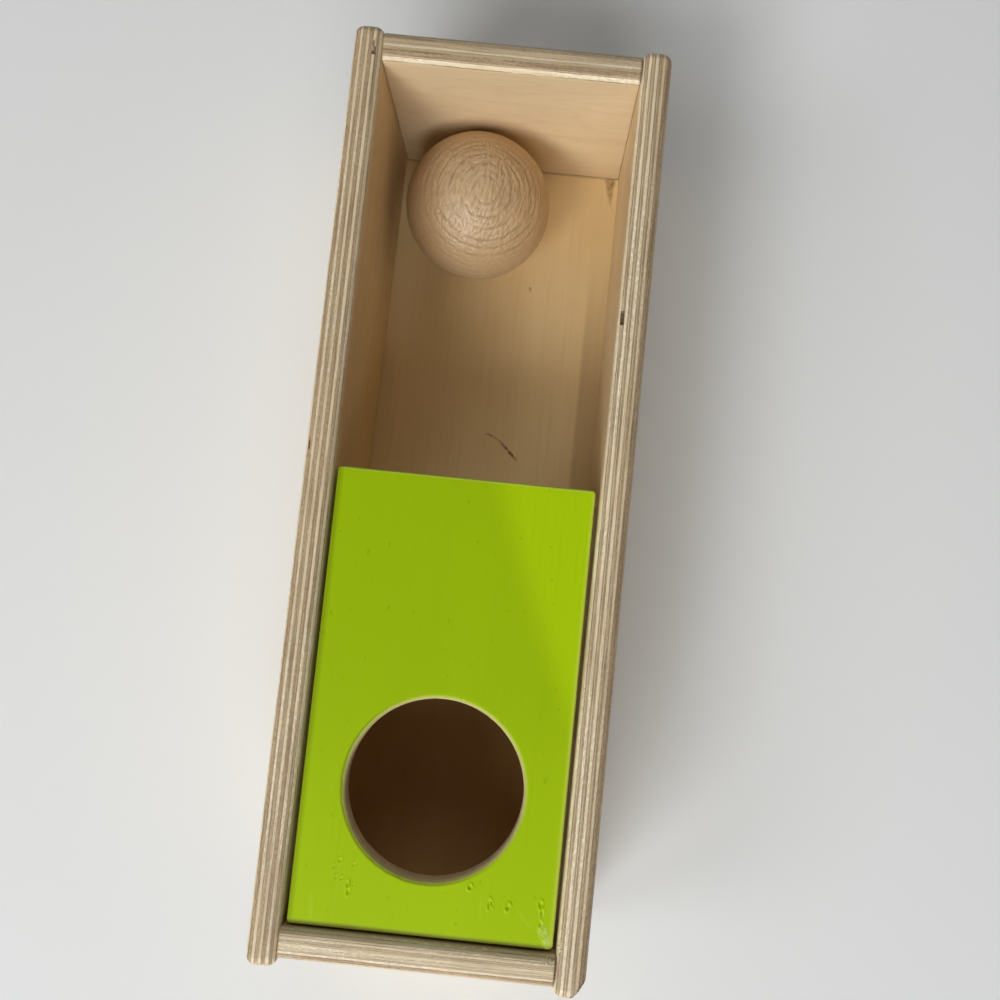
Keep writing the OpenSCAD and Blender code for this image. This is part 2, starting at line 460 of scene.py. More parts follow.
FLOOR_WOOD = ((243, 216, 163), (236, 207, 152))
FLOOR_GRAIN = (180, 142, 94)
SHADE_UNDER_COVER = (150, 92, 44)
WALL_REFLECTION_BROWN = (150, 112, 68)
SCRATCH_BROWN = (104, 60, 32)
STAIN_BROWN = (144, 104, 60)
SEAM_BROWN = (140, 96, 56)


def stained(g, place, x, y):
    """How dark the corner stain is: a triangle with a wavy edge, blotchy, and paler at its near tip."""
    stain = 1
    wavy_x = g.plus(x, g.swing(g.noise(place, scale=160), 2.4 * MM))
    for start, end in zip(STAIN, STAIN[1:] + STAIN[:1]):
        stain = g.times(g.side_of(wavy_x, y, start, end, 0.9 * MM), stain)
    blotch = g.band(g.noise(place, scale=240), 0.3, 0.62, 0.5, 0.9)
    return g.times(stain, g.times(blotch, g.past(y, 0, 154, 166, 0.5, 1)))


def floor_veneer():
    """Birch veneer with its grain along the box, and the marks of use on the floor."""
    g = material_graph("birch_floor")
    place = g.place()
    xyz = x, y, _ = g.parts(place)
    figure = g.grained(xyz, (26, 5, 9), distort=0.5)
    fine = g.grained(xyz, (700, 20, 40), 4, 0.6)
    colour = g.mix(g.band(figure, 0.32, 0.7), *FLOOR_WOOD)
    colour = g.mix(g.band(fine, 0.45, 0.78, 0, 0.12), colour, FLOOR_GRAIN)
    # Painted shade on the floor under the cover panel
    colour = g.mix(g.past(y, PANEL_HIGH.y, -12, -2, 0.5, 0), colour, SHADE_UNDER_COVER)
    # Painted reflection of the right side board on the floor
    strip = g.past(x, WALL_REFLECTION_X, -0.8, 0.8)
    colour = g.mix(g.times(strip, g.band(y, *WALL_REFLECTION_FADE, 0.34, 0)), colour, WALL_REFLECTION_BROWN)
    ragged = g.band(g.noise(place, scale=900), 0.35, 0.6, 0.4, 1)
    colour = scratched(g, place, FLOOR_SCRATCHES, on_floor, ragged, colour, SCRATCH_BROWN)
    colour = g.mix(stained(g, place, x, y), colour, STAIN_BROWN)
    colour = g.mix(g.past(y, FAR_LOW.y, -1.6, -0.3, 0, 0.4), colour, SEAM_BROWN)
    roughness = g.plus(g.times(fine, 0.2), 0.34)
    return g.shade(colour, roughness, g.bump(fine, 0.25, 0.06 * MM), 0.4)


# Painted light makes the paint paler to the right of this line, seen from the near end, and towards the near end
PAINTED_LIGHT_START = (15 * MM, 0)
PAINTED_LIGHT_END = (46 * MM, -75 * MM)
NEAR_LIGHT_REACH = 110 * MM
# A smear of dried glue at the panel's near right corner
SMEAR_START = on_panel(45.4, -159.4)
SMEAR_END = on_panel(48, -164.4)
SMEAR_HALF = 2.2 * MM
# Fine pale scratches in the paint, given like the floor's
PANEL_SCRATCHES = (
    (-41.9, -155, -40.9, -163.4, 0.8, 0.26),
    (36, -153.5, 41.5, -160, 0.5, 0.26),
    (21.5, -150, 22, -158, 0.5, 0.25),
    (45.4, -152, 45.2, -159, 0.5, 0.6),
)

# The paint, and the same paint paler where light is painted on it
PAINT_SHADED_AND_LIT = ((164, 196, 3), (180, 214, 2))
PAINT_GRAIN = (142, 174, 6)
PAINT_SPECK = (122, 150, 8)
PAINTED_EDGE_HIGHLIGHT = (220, 224, 104)
PAINTED_EDGE_SHADE = (100, 108, 8)
PAINT_SCRATCH = (196, 222, 74)
END_LINE = (176, 188, 78)
END_SHADE = (90, 86, 10)
SMEARED = (206, 222, 120)
BRIM_SHADE = (112, 122, 16)
BARE_WALL = ((234, 214, 180), (208, 186, 150))
RIM_TINT = (188, 194, 84)


def painted_edge_light(g, paint, x, y, z):
    """The paint with a painted highlight along the panel's far and right edges and painted shade along its left
    one, beside the left side board.
    """
    on_top = g.past(z, PANEL_HIGH.z, -1.4, -0.7)
    right = g.past(x, PANEL_HIGH.x, -2.2, -0.5, 0, 0.5)
    far = g.past(y, PANEL_HIGH.y, -1.6, -0.7, 0, 0.4)
    paint = g.mix(g.times(g.math("MAXIMUM", right, far), on_top), paint, PAINTED_EDGE_HIGHLIGHT)
    return g.mix(g.past(x, PANEL_LOW.x, 0.4, 3.2, 0.5, 0), paint, PAINTED_EDGE_SHADE)


def near_edge(g, paint, y, cloud):
    """The panel's near edge, darkened with painted shade where it rounds over into the gap, with a pale line
    beside that.
    """
    from_near = g.plus(g.minus(y, PANEL_LOW.y), g.swing(cloud, 0.8 * MM))
    paint = g.mix(g.past(from_near, 0, 1.6, 2.8, 0.28, 0), paint, END_LINE)
    return g.mix(g.past(from_near, 0, 0.3, 2.2, 0.95, 0), paint, END_SHADE)


def hole_edge(g, paint, place, xyz):
    """The paint with its shaded brim and the bare wall of the ball hole, and where it is bare."""
    x, y, z = xyz
    off_axis = g.whole(g.minus(x, HOLE_CENTRE.x), g.minus(y, HOLE_CENTRE.y), 0)
    ragged = g.swing(g.noise(place, scale=320, detail=3), 0.7 * MM)
    from_hole = g.minus(g.plus(g.vector("LENGTH", off_axis), ragged), HOLE_R)
    bare = g.past(from_hole, 0, 1, 1.4, 1, 0)
    to_shade = g.vector("DOT_PRODUCT", off_axis, (-0.85, -0.53, 0))
    brim = g.past(from_hole, 0, 1.3, 2.4, 1, 0)
    brim = g.times(brim, g.past(to_shade, 0, -16, 24, 0, 0.7))
    paint = g.mix(brim, paint, BRIM_SHADE)
    fibre = g.grained(xyz, (260, 260, 1500), 3, 0.6)
    wall = g.mix(g.band(fibre, 0.35, 0.65), *BARE_WALL)
    wall = g.mix(g.past(z, PANEL_HIGH.z, -1.6, -0.6, 0, 0.85), wall, RIM_TINT)
    return g.mix(bare, paint, wall), bare


def green_paint():
    """Satin lime paint over wood, with the bare wall of the ball hole."""
    g = material_graph("lime_paint")
    place = g.place()
    xyz = x, y, z = g.parts(place)
    grain = g.grained(xyz, (620, 18, 100), 4, 0.6)
    cloud = g.grained(xyz, (22, 12, 1))
    peel = g.noise(place, scale=620)
    # Painted light towards the far right corner and the near end, with a random cloud over it
    far_corner = g.side_of(x, y, PAINTED_LIGHT_START, PAINTED_LIGHT_END, 7 * MM)
    near_end = g.band(y, PANEL_LOW.y, PANEL_LOW.y + NEAR_LIGHT_REACH, 0.62, 0)
    painted_light = g.plus(g.math("MAXIMUM", far_corner, near_end), g.swing(cloud, 0.5), clamp=True)
    paint = g.mix(painted_light, *PAINT_SHADED_AND_LIT)
    paint = g.mix(g.band(grain, 0.5, 0.8, 0, 0.14), paint, PAINT_GRAIN)
    specks = g.noise(g.whole(x, g.times(y, 0.6), z), scale=420, detail=1)
    paint = g.mix(g.times(g.band(specks, 0.7, 0.78), 0.35), paint, PAINT_SPECK)
    paint = painted_edge_light(g, paint, x, y, z)
    ragged = g.band(peel, 0.3, 0.6, 0.4, 1)
    paint = scratched(g, place, PANEL_SCRATCHES, on_panel, ragged, paint, PAINT_SCRATCH)
    paint = near_edge(g, paint, y, cloud)
    smear = g.band(g.grained(xyz, (900, 380, 100), 3), 0.42, 0.66, 0.2, 0.9)
    smear = g.times(g.segment(place, SMEAR_START, SMEAR_END, SMEAR_HALF), smear)
    paint = g.mix(smear, paint, SMEARED)
    colour, bare = hole_edge(g, paint, place, xyz)

    relief = g.plus(g.times(grain, 0.7), g.times(peel, 0.4))
    relief = g.plus(relief, g.times(smear, 2))
    roughness = g.plus(g.times(g.minus(1, bare), -0.26), 0.7)
    roughness = g.plus(roughness, g.times(cloud, 0.08))
    return g.shade(colour, roughness, g.bump(relief, 0.35, 0.08 * MM), 0.12)


REST_WOOD = ((206, 174, 130), (170, 132, 88))
DOWEL_WOOD = ((206, 170, 124), (168, 126, 82))
DRIED_GLUE = ((240, 228, 190), (142, 118, 74))


def planed_wood(name, shades):
    """Plain planed wood with its grain along Y, for the pieces that hardly show."""
    g = material_graph(name)
    grain = g.grained(g.parts(g.place()), (700, 26, 700), 4, 0.6)
    colour = g.mix(g.band(grain, 0.35, 0.7), *shades)
    roughness = g.plus(g.times(grain, 0.2), 0.45)
    return g.shade(colour, roughness, g.bump(grain, 0.4, 0.1 * MM))


def dried_glue():
    """Specks of dried glue and dust on the plywood."""
    g = material_graph("dried_glue")
    grit = g.noise(g.place(), scale=1500, detail=3, rough=0.7)
    colour = g.mix(g.band(grit, 0.42, 0.6), *DRIED_GLUE)
    roughness = g.plus(g.times(grit, 0.3), 0.4)
    return g.shade(colour, roughness, g.bump(grit, 0.6, 0.2 * MM))


# Ball's wood

# The ball was turned about TURN_AXIS, and its grain runs along BALL_GRAIN
TURN_AXIS = Vector((0.169, -0.119, 0.978)).normalized()
GRAIN_RUN = Vector((0.19, 0.98, 0))
BALL_GRAIN = (GRAIN_RUN - TURN_AXIS * GRAIN_RUN.dot(TURN_AXIS)).normalized()
BALL_RAY = TURN_AXIS.cross(BALL_GRAIN)
# Shade is painted onto the ball's colour towards this side
SHADED_SIDE = Vector((-0.92, -0.4, 0))

BEECH = ((213, 183, 143), (203, 171, 130))
BEECH_PAINTED_SHADE = (150, 112, 72)
BEECH_GRAIN = (174, 138, 96)
GROOVE_SHADE = (124, 88, 52)
FIBRE_SHADE = (128, 94, 58)
BEECH_FLECK = (118, 86, 50)


def turned_beech():
    """Turned beech. The mesh keeps how deep each point lies in the turned grooves and in the grain;
    the colour darkens with that depth as painted shade.
    """
    g = material_graph("turned_beech")
    out = g.vector("SUBTRACT", g.place(), BALL_CENTRE)
    turned = [g.vector("DOT_PRODUCT", out, v) for v in (BALL_GRAIN, BALL_RAY, TURN_AXIS)]
    flecks = g.band(g.grained(turned, (300, 1900, 1900), 1.5, 0.55), 0.6, 0.7)
    fine = g.grained(turned, (160, 1300, 1300), 4, 0.6)
    cloud = g.noise(out, scale=40)

    colour = g.mix(g.band(cloud, 0.3, 0.7), *BEECH)
    shaded_side = g.vector("DOT_PRODUCT", out, SHADED_SIDE / BALL_R)
    colour = g.mix(g.band(shaded_side, 0.2, 0.75, 0, 0.34), colour, BEECH_PAINTED_SHADE)
    colour = g.mix(g.band(fine, 0.4, 0.75, 0, 0.2), colour, BEECH_GRAIN)
    # Painted shade in the turned grooves and between the raised fibres
    colour = g.mix(g.times(g.kept("groove"), 0.46), colour, GROOVE_SHADE)
    colour = g.mix(g.times(g.kept("fibre"), 0.24), colour, FIBRE_SHADE)
    colour = g.mix(g.times(flecks, 0.15), colour, BEECH_FLECK)
    relief = g.minus(g.times(fine, 0.6), g.times(flecks, 0.6))
    roughness = g.plus(g.times(fine, 0.16), 0.3)
    return g.shade(colour, roughness, g.bump(relief, 0.5, 0.1 * MM), 0.55)


# Camera and light

CAMERA_PLACE = mm(26.36, -38.13, 529.03)
CAMERA_DEGREES = (4.731, 0.223, 5.83)
PICTURE = 1000
FOCAL_PIXELS = 1100.56
PICTURE_CENTRE = (519.58, 509.09)
SENSOR = 36
CLIP_START = 10 * MM

LIT_POINT = Vector((0, 0, 0.05))
LIGHT_DISTANCE = 3.2
DAYLIGHT = (0.98, 0.99, 1)
# Round soft lights: name, degrees round from +X towards +Y, degrees up, width, power and colour
LIGHTS = (
    ("left_window", 200, 46, 1.3, 16.7, (0.97, 0.985, 1)),
    ("key", 240, 46, 1.1, 33, DAYLIGHT),
    ("low_window", 260, 32, 1.1, 29, DAYLIGHT),
    ("near_window", 280, 46, 1.3, 21, DAYLIGHT),
    ("far_fill", 90, 50, 1.3, 6.8, (1, 0.98, 0.95)),
)

# The backdrop's linear colours at the horizon and overhead, their strengths, and how high up they
# change, where 1 is overhead
HORIZON = [0.96, 0.98, 1, 1]
OVERHEAD = [1, 0.96, 0.9, 1]
HORIZON_STRENGTH = 0.5
OVERHEAD_STRENGTH = 0.05
BACKDROP_RISE = (0.06, 0.28)

# Far from the box the studio floor glows a little, to meet the backdrop
STUDIO_HALF = 4
STUDIO_GLOW = 0.3
GLOW_REACH = (1, 2.6)
PAPER = ((244, 245, 244), (240, 241, 240))


def add(name, data):
    """A new object in the scene."""
    made = bpy.data.objects.new(name, data)
    bpy.context.collection.objects.link(made)
    return made


def make_camera():
    data = bpy.data.cameras.new("camera")
    data.sensor_width = SENSOR
    data.lens = SENSOR * FOCAL_PIXELS / PICTURE
    data.shift_x = (PICTURE / 2 - PICTURE_CENTRE[0]) / PICTURE
    data.shift_y = (PICTURE_CENTRE[1] - PICTURE / 2) / PICTURE
    data.clip_start = CLIP_START
    camera = add("camera", data)
    camera.location = CAMERA_PLACE
    camera.rotation_euler = [radians(a) for a in CAMERA_DEGREES]
    bpy.context.scene.camera = camera


def make_light(name, round_angle, up_angle, size, power, colour):
    """A round soft light aimed at the box."""
    turn, lift = radians(round_angle), radians(up_angle)
    away = Vector((cos(turn) * cos(lift), sin(turn) * cos(lift), sin(lift)))
    data = bpy.data.lights.new(name, "AREA")
    data.shape = "DISK"
    data.size = size
    data.energy = power
    data.color = colour
    lamp = add(name, data)
    lamp.location = LIT_POINT + away * LIGHT_DISTANCE
    lamp.rotation_mode = "QUATERNION"
    lamp.rotation_quaternion = (-away).to_track_quat("-Z", "Y")


def make_backdrop():
    """A pale wall of light low round the studio floor, and dim warm light from above."""
    g = Graph(bpy.data.worlds.new("studio"))
    rise = g.parts(g.coordinates("Generated"))[2]
    height = g.band(rise, *BACKDROP_RISE, kind="LINEAR")
    strength = g.band(height, 0, 1, HORIZON_STRENGTH, OVERHEAD_STRENGTH, kind="LINEAR")
    inputs = {"Strength": strength, "Color": g.mix(height, HORIZON, OVERHEAD)}
    background = g.node("Background", inputs)
    g.node("OutputWorld", (background.outputs[0],))
    bpy.context.scene.world = g.owner


def make_stage():
    mesh = bpy.data.meshes.new("studio_floor")
    h = STUDIO_HALF
    mesh.from_pydata([(-h, -h, 0), (h, -h, 0), (h, h, 0), (-h, h, 0)], [], [(0, 1, 2, 3)])
    floor = add("studio_floor", mesh)
    g = material_graph("pale_floor")
    place = g.place()
    colour = g.mix(g.noise(place, scale=3, detail=3), *PAPER)
    paper = g.bump(g.noise(place, scale=900), 0.1, 0.1 * MM)
    glow = g.band(g.vector("LENGTH", place), *GLOW_REACH, 0, STUDIO_GLOW)
    mesh.materials.append(g.shade(colour, 0.8, paper, 0.2, glow))

    make_backdrop()
    for light in LIGHTS:
        make_light(*light)
    bpy.context.scene.view_settings.view_transform = "Standard"


make_camera()
make_stage()


# Meshes

WELD = 1e-6
DEGENERATE = 1e-7
SHARP_DEGREES = 50


def lay_mesh(name, verts, faces, material, slot, body, node=None):
    """A smooth mesh with its finish, riding on its body, in place of the CAD node."""
    mesh = bpy.data.meshes.new(name)
    mesh.from_pydata(verts, [], faces)
    shape = bmesh.new()
    shape.from_mesh(mesh)
    bmesh.ops.remove_doubles(shape, verts=shape.verts, dist=WELD)
    bmesh.ops.dissolve_degenerate(shape, edges=shape.edges, dist=DEGENERATE)
    bmesh.ops.recalc_face_normals(shape, faces=shape.faces)
    shape.to_mesh(mesh)
    shape.free()
    mesh.polygons.foreach_set("use_smooth", [True] * len(mesh.polygons))
    mesh.set_sharp_from_angle(angle=radians(SHARP_DEGREES))
    mesh.materials.append(material)
    piece = add(name, mesh)
    if node:
        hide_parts(node)
    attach(piece, body)
    return piece


def skin(rings, closed=False):
    """Faces between rings of equal length. Open rows of rings are capped at both ends."""
    verts = [v for ring in rings for v in ring]
    n, count = len(rings[0]), len(rings)
    faces = []
    for a in range(count if closed else count - 1):
        b = (a + 1) % count
        for i in range(n):
            j = (i + 1) % n
            faces.append((a * n + i, a * n + j, b * n + j, b * n + i))
    if not closed:
        faces.append(tuple(reversed(range(n))))
        faces.append(tuple((count - 1) * n + i for i in range(n)))
    return verts, faces


def spread(low, high, count):
    """count + 1 even values from low to high."""
    return [low + (high - low) * i / count for i in range(count + 1)]


def arc(low, high, count):
    """count + 1 even angles from low to high, given in degrees."""
    return [radians(a) for a in spread(low, high, count)]


# Boards

TOP_STEPS = 24
ARC_STEPS = 18
FACE_STEPS = 12
END_ARC_STEPS = 4
# A board has a ring every millimetre, and closer ones about a void
VOID_RING = 0.18 * MM
VOID_RINGS = 24
VOID_MARGIN = 1.2 * MM
# The ease at the ends of an end board
END_EASE = 0.45 * MM
# The dark joint at each end of an end board: half-size and darkness
JOINT_HALF = mm(0.65, 20, 200)
JOINT_DARKNESS = 0.2

# The floor's groove in the side boards
GROOVE_PLAY = 0.2 * MM
GROOVE_NEAR = FLOOR_LOW.y - GROOVE_PLAY
GROOVE_FAR = FLOOR_HIGH.y + GROOVE_PLAY
GROOVE_D = FLOOR_HIGH.x + GROOVE_PLAY - RIGHT_LOW.x
GROOVE_CLEAR_Z = FLOOR_HIGH.z + 1 * MM
GROOVE_LOWEST_Z = LEFT_LOW.z + EDGE_R + 0.02 * MM

# How far the sanded edges lie low, in mm: a cross ply, how much less a long ply, and the waves
CROSS_LOW = 0.055
LONG_LESS = 0.043
WAVE_LOW = 0.02


def board_section(half_t, half_h, notch_side=0):
    """Points round a board's section, across it and up: a core point and an outward normal, or a
    corner of the notch."""
    u, v = half_t - EDGE_R, half_h - EDGE_R

    def corner(x, z, start):
        return [(x, z, cos(a), sin(a), None) for a in arc(start, start + 90, ARC_STEPS)]

    def face(side):
        heights = spread(-side * v, side * v, FACE_STEPS)[1:-1]
        if side == notch_side:
            return notch_run(side, u, heights)
        return [(side * u, z, side, 0, None) for z in heights]

    def edge(way):
        return [(x, way * v, 0, way, None) for x in spread(way * u, -way * u, TOP_STEPS)[1:-1]]

    right = corner(u, -v, -90) + face(1) + corner(u, v, 0)
    left = corner(-u, v, 90) + face(-1) + corner(-u, -v, 180)
    return right + edge(1) + left + edge(-1)


def notch_run(side, u, heights):
    """The inner face of a side board with the four corners of the floor's groove in it."""
    corners = [(side * u, None, side, 0, c) for c in ("low_out", "low_in", "high_in", "high_out")]
    above = [(side * u, z, side, 0, None) for z in heights if z > GROOVE_CLEAR_Z - LEFT_HIGH.z / 2]
    return corners + above if side > 0 else above + corners[::-1]


def groove_height(y, corner):
    top = floor_z(y)
    if corner.startswith("high"):
        return top + GROOVE_PLAY
    return max(top - FLOOR_DEPTH, GROOVE_LOWEST_Z)


def ply_at(depth, plies):
    """The number and paleness of the ply at that depth in mm, and the distance to its nearer glue line."""
    number = sum(1 for end, _ in plies[:-1] if depth > end)
    return number, plies[number][1], min(abs(depth - end) for end, _ in plies[:-1])


def edge_relief(place, depth, plies, round_share, voids):
    """How far the sanded edge lies below its true surface: cross plies a little more than long ones,
    with shallow waves along the board, and open where a ply has a void."""
    ply, pale, from_glue = ply_at(depth / MM, plies)
    low = (CROSS_LOW - LONG_LESS * pale) * MM
    low *= min(1, 4 * from_glue + 0.25)
    along = Vector((place.x * 900, place.y * 60, ply * 7.3))
    low += WAVE_LOW * MM * (0.5 + 0.5 * noise(along))
    sink = low * round_share
    for centre, size, void_depth, _ in voids:
        out = [abs(place[i] - centre[i]) / size[i] for i in (0, 1)]
        ragged = 0.2 * noise(place * 1400)
        sink = max(sink, held((0.9 + ragged - max(out)) * 4) * void_depth)
    return sink


def knocked(place):
    """The place pulled back to the rough plane where the right board's corner was knocked off."""
    rough = (0.35 * noise(place * 700) + 0.25 * noise(place * 1900)) * MM
    beyond = BRUISE_OUT.dot(place) - BRUISE_REACH - rough
    return place - BRUISE_OUT * max(0, beyond) * held((place.z - BRUISE_Z) / BRUISE_FADE)


def stations(low, high, voids=()):
    """Where the rings of a board stand along it."""
    places = set(spread(low, high, round((high - low) / MM)))
    for centre, size, _, _ in voids:
        reach = size.y + VOID_MARGIN
        near = [centre.y + VOID_RING * i for i in range(-VOID_RINGS, VOID_RINGS + 1)]
        places |= {p for p in near if low < p < high and abs(p - centre.y) < reach}
    return sorted(places)


def sanded_ring(section, centre, along, reach, outer_face, plies, voids=(), groove=0):
    """One ring of a board whose thickness runs along X and whose length runs along Y."""
    ring = []
    for cu, cv, nu, nv, corner in section:
        if corner:
            sunk = groove if corner.endswith("in") else 0
            height = groove_height(along, corner)
            ring.append(Vector((centre.x + cu + nu * (reach - sunk), along, height)))
            continue
        out = Vector((centre.x + cu + nu * reach, along, centre.z + cv + nv * reach))
        open_voids = voids if nv > 0.2 else ()
        low_by = edge_relief(out, abs(out.x - outer_face), plies, 1 - abs(nu) ** 3, open_voids)
        ring.append(out - Vector((nu, 0, nv)) * min(low_by, reach))
    return ring


def side_board(node, low, high, side, plies, voids):
    """A side board with ball-shaped corners and the floor's groove in its inner face."""
    centre = (low + high) / 2
    outer_face = high.x if side > 0 else low.x
    section = board_section((high.x - low.x) / 2, (high.z - low.z) / 2, -side)
    runs = [(y, EDGE_R, GROOVE_D if GROOVE_NEAR < y < GROOVE_FAR else 0)
            for y in stations(low.y + EDGE_R, high.y - EDGE_R, voids)]
    runs += [(y, EDGE_R, groove) for y in (GROOVE_NEAR, GROOVE_FAR) for groove in (0, GROOVE_D)]
    runs.sort(key=lambda run: (run[0], -run[2] if run[0] > 0 else run[2]))
    tips = [(EDGE_R * sin(a), EDGE_R * cos(a)) for a in arc(0, 90, ARC_STEPS)[1:]]
    runs = [(low.y + EDGE_R - out, reach, 0) for out, reach in reversed(tips)] + runs
    runs += [(high.y - EDGE_R + out, reach, 0) for out, reach in tips]
    rings = [sanded_ring(section, centre, y, reach, outer_face, plies, voids, groove)
             for y, reach, groove in runs]
    if side > 0:
        rings = [[knocked(place) for place in ring] for ring in rings]
    material = plywood(node + "_wood", 0, 1, outer_face, -side, plies, voids, hurt=side > 0)
    lay_mesh(node + "_shape", *skin(rings), material, "side_plywood", "box", node)


def end_board(node, low, high, end, plies, veneers):
    """An end board, rounded along its long edges, with a fine ease where it meets the side boards.
    end is 1 for the far board and -1 for the near one."""
    centre = (low + high) / 2
    outer_face = high.y if end > 0 else low.y
    section = board_section((high.y - low.y) / 2, (high.z - low.z) / 2)
    eased = [(END_EASE * (1 - sin(a)), END_EASE * (1 - cos(a)))
             for a in arc(0, 90, END_ARC_STEPS)[1:]]
    runs = [(low.x + along, sunk) for along, sunk in reversed(eased)]
    runs += [(x, 0) for x in stations(low.x + END_EASE, high.x - END_EASE)]
    runs += [(high.x - along, sunk) for along, sunk in eased]
    rings = [[place.yxz for place in
              sanded_ring(section, centre.yxz, x, EDGE_R - sunk, outer_face, plies)] for x, sunk in runs]
    joints = [(Vector((x, centre.y, centre.z)), JOINT_HALF, 0, JOINT_DARKNESS) for x in (low.x, high.x)]
    material = plywood(node + "_wood", 1, 0, outer_face, -end, plies, joints, veneers)
    lay_mesh(node + "_shape", *skin(rings), material, "end_plywood", "box", node)


# Panel

# The panel's own sizes, before it is turned a little about the ball hole
PANEL_SKEW = radians(0.1)
PANEL_W = 100 * MM
PANEL_LEN = 173 * MM
HOLE_TO_NEAR = 54.3 * MM
PANEL_CORNER_R = 1.5 * MM
PANEL_EASE = 0.9 * MM
PANEL_FOOT_EASE = 0.4 * MM
RIM_R = 2 * MM
OUTLINE_STEP = 0.4 * MM
SPAN_STEPS = 60
# The ring of the underside about the hole, and how far from its edges the top's relief fades
UNDER_RING = 4 * MM
RELIEF_FADE = 1.5 * MM

# Dents in the paint: place in mm, half-width and half-length in mm, turn, and depth
PANEL_DENTS = (
    (17.1, -146.6, 0.75, 0.95, 12, 0.26), (24.9, -152, 0.42, 1.7, 8, 0.2),
    (25.9, -151.6, 0.36, 1.3, -16, 0.16), (32, -152.4, 0.65, 1.2, 20, 0.26),
    (44.2, -150.4, 0.7, 1.3, 0, 0.24), (44.9, -153.4, 0.5, 1.6, 0, 0.18),
    (44.8, -157.4, 0.5, 1.1, 4, 0.18), (-32.4, -141.8, 0.7, 0.8, 0, 0.14),
    (-34.6, -144.4, 0.5, 0.7, 0, 0.1), (-33.4, -148.2, 0.6, 0.7, 30, 0.12),
    (-31.2, -148.4, 0.5, 0.6, 0, 0.12), (-27.1, -142.9, 0.8, 0.5, 20, 0.12),
    (-28.7, -150.1, 0.5, 1.2, 4, 0.16), (-28.1, -152.8, 0.6, 1.3, 4, 0.2),
    (-26.4, -150.4, 0.5, 0.5, 0, 0.1), (23.5, -13.4, 1.3, 0.5, 30, 0.08),
    (-2.4, -58.6, 2.2, 0.4, 14, 0.06), (2.6, -63.5, 1.2, 0.5, -20, 0.06),
)
# A dent's depth is in units of this, it has a raised lip, and none reaches further than DENT_REACH mm
DENT_DEPTH = 2.2 * MM
DENT_LIP = 1.35
DENT_REACH = 5
PANEL_WAVE = 0.03 * MM
SMEAR_HEIGHT = 0.12 * MM


def panel_relief(place):
    """How far the panel's painted face lies above its true plane: slight waves, dents and a smear."""
    height = PANEL_WAVE * noise(Vector((place.x * 30, place.y * 22, 4)))
    x, y = place.x / MM, place.y / MM
    for cx, cy, half_w, half_l, turn, depth in PANEL_DENTS:
        if max(abs(x - cx), abs(y - cy)) > DENT_REACH:
            continue
        c, s = cos(radians(turn)), sin(radians(turn))
        u = ((x - cx) * c - (y - cy) * s) / half_w
        v = ((x - cx) * s + (y - cy) * c) / half_l
        away = hypot(u, v)
        pit = exp(-away * away * 1.6)
        lip = exp(-(away - DENT_LIP) ** 2 * 7)
        height += (0.5 * lip - pit) * depth * DENT_DEPTH
    along = SMEAR_END - SMEAR_START
    share = held((place - SMEAR_START).dot(along) / along.length_squared)
    nearest = SMEAR_START + along * share
    gap = hypot(place.x - nearest.x, place.y - nearest.y)
    if gap < SMEAR_HALF:
        height += SMEAR_HEIGHT * (1 - gap / SMEAR_HALF) * (1 + 1.5 * noise(place * 1100))
    return height


def panel_outline():
    """Places round the panel and their outward directions, anticlockwise, about the hole's centre."""
    half_w, near, far = PANEL_W / 2, -HOLE_TO_NEAR, PANEL_LEN - HOLE_TO_NEAR
    r = PANEL_CORNER_R
    corners = (
        (half_w - r, near + r, -90), (half_w - r, far - r, 0),
        (-half_w + r, far - r, 90), (-half_w + r, near + r, 180),
    )
    points = []
    for i, (x, y, start) in enumerate(corners):
        points += [(x, y, cos(a), sin(a)) for a in arc(start, start + 90, 10)]
        nx, ny, _ = corners[(i + 1) % 4]
        a = radians(start + 90)
        count = max(2, round(hypot(nx - x, ny - y) / OUTLINE_STEP))
        run = [(x + (nx - x) * k / count, y + (ny - y) * k / count) for k in range(1, count)]
        points += [(cx, cy, cos(a), sin(a)) for cx, cy in run]
    return points


def panel_line(rim, edge, out, flat):
    """One line of the panel: from the hole's rim over the top, down, under and up the hole's wall.
    Each point is a place in plan and a height."""
    top, under, foot_ease = PANEL_HIGH.z, PANEL_LOW.z, PANEL_FOOT_EASE
    toward, foot = edge.normalized(), out - flat * foot_ease
    line = [(rim.lerp(edge, k / SPAN_STEPS), top) for k in range(SPAN_STEPS + 1)]
    line += [(edge + flat * PANEL_EASE * sin(a), top - PANEL_EASE * (1 - cos(a)))
             for a in arc(0, 90, 6)[1:]]
    line += [(foot + flat * foot_ease * cos(a), under + foot_ease * (1 - sin(a)))
             for a in arc(0, 90, 4)]
    line.append((toward * (HOLE_R + UNDER_RING), under))
    line += [(toward * (HOLE_R + foot_ease * (1 - sin(a))), under + foot_ease * (1 - cos(a)))
             for a in arc(0, 90, 3)]
    line += [(toward * (HOLE_R + RIM_R * (1 - cos(a))), top - RIM_R * (1 - sin(a)))
             for a in arc(0, 90, 12)[:-1]]
    return line


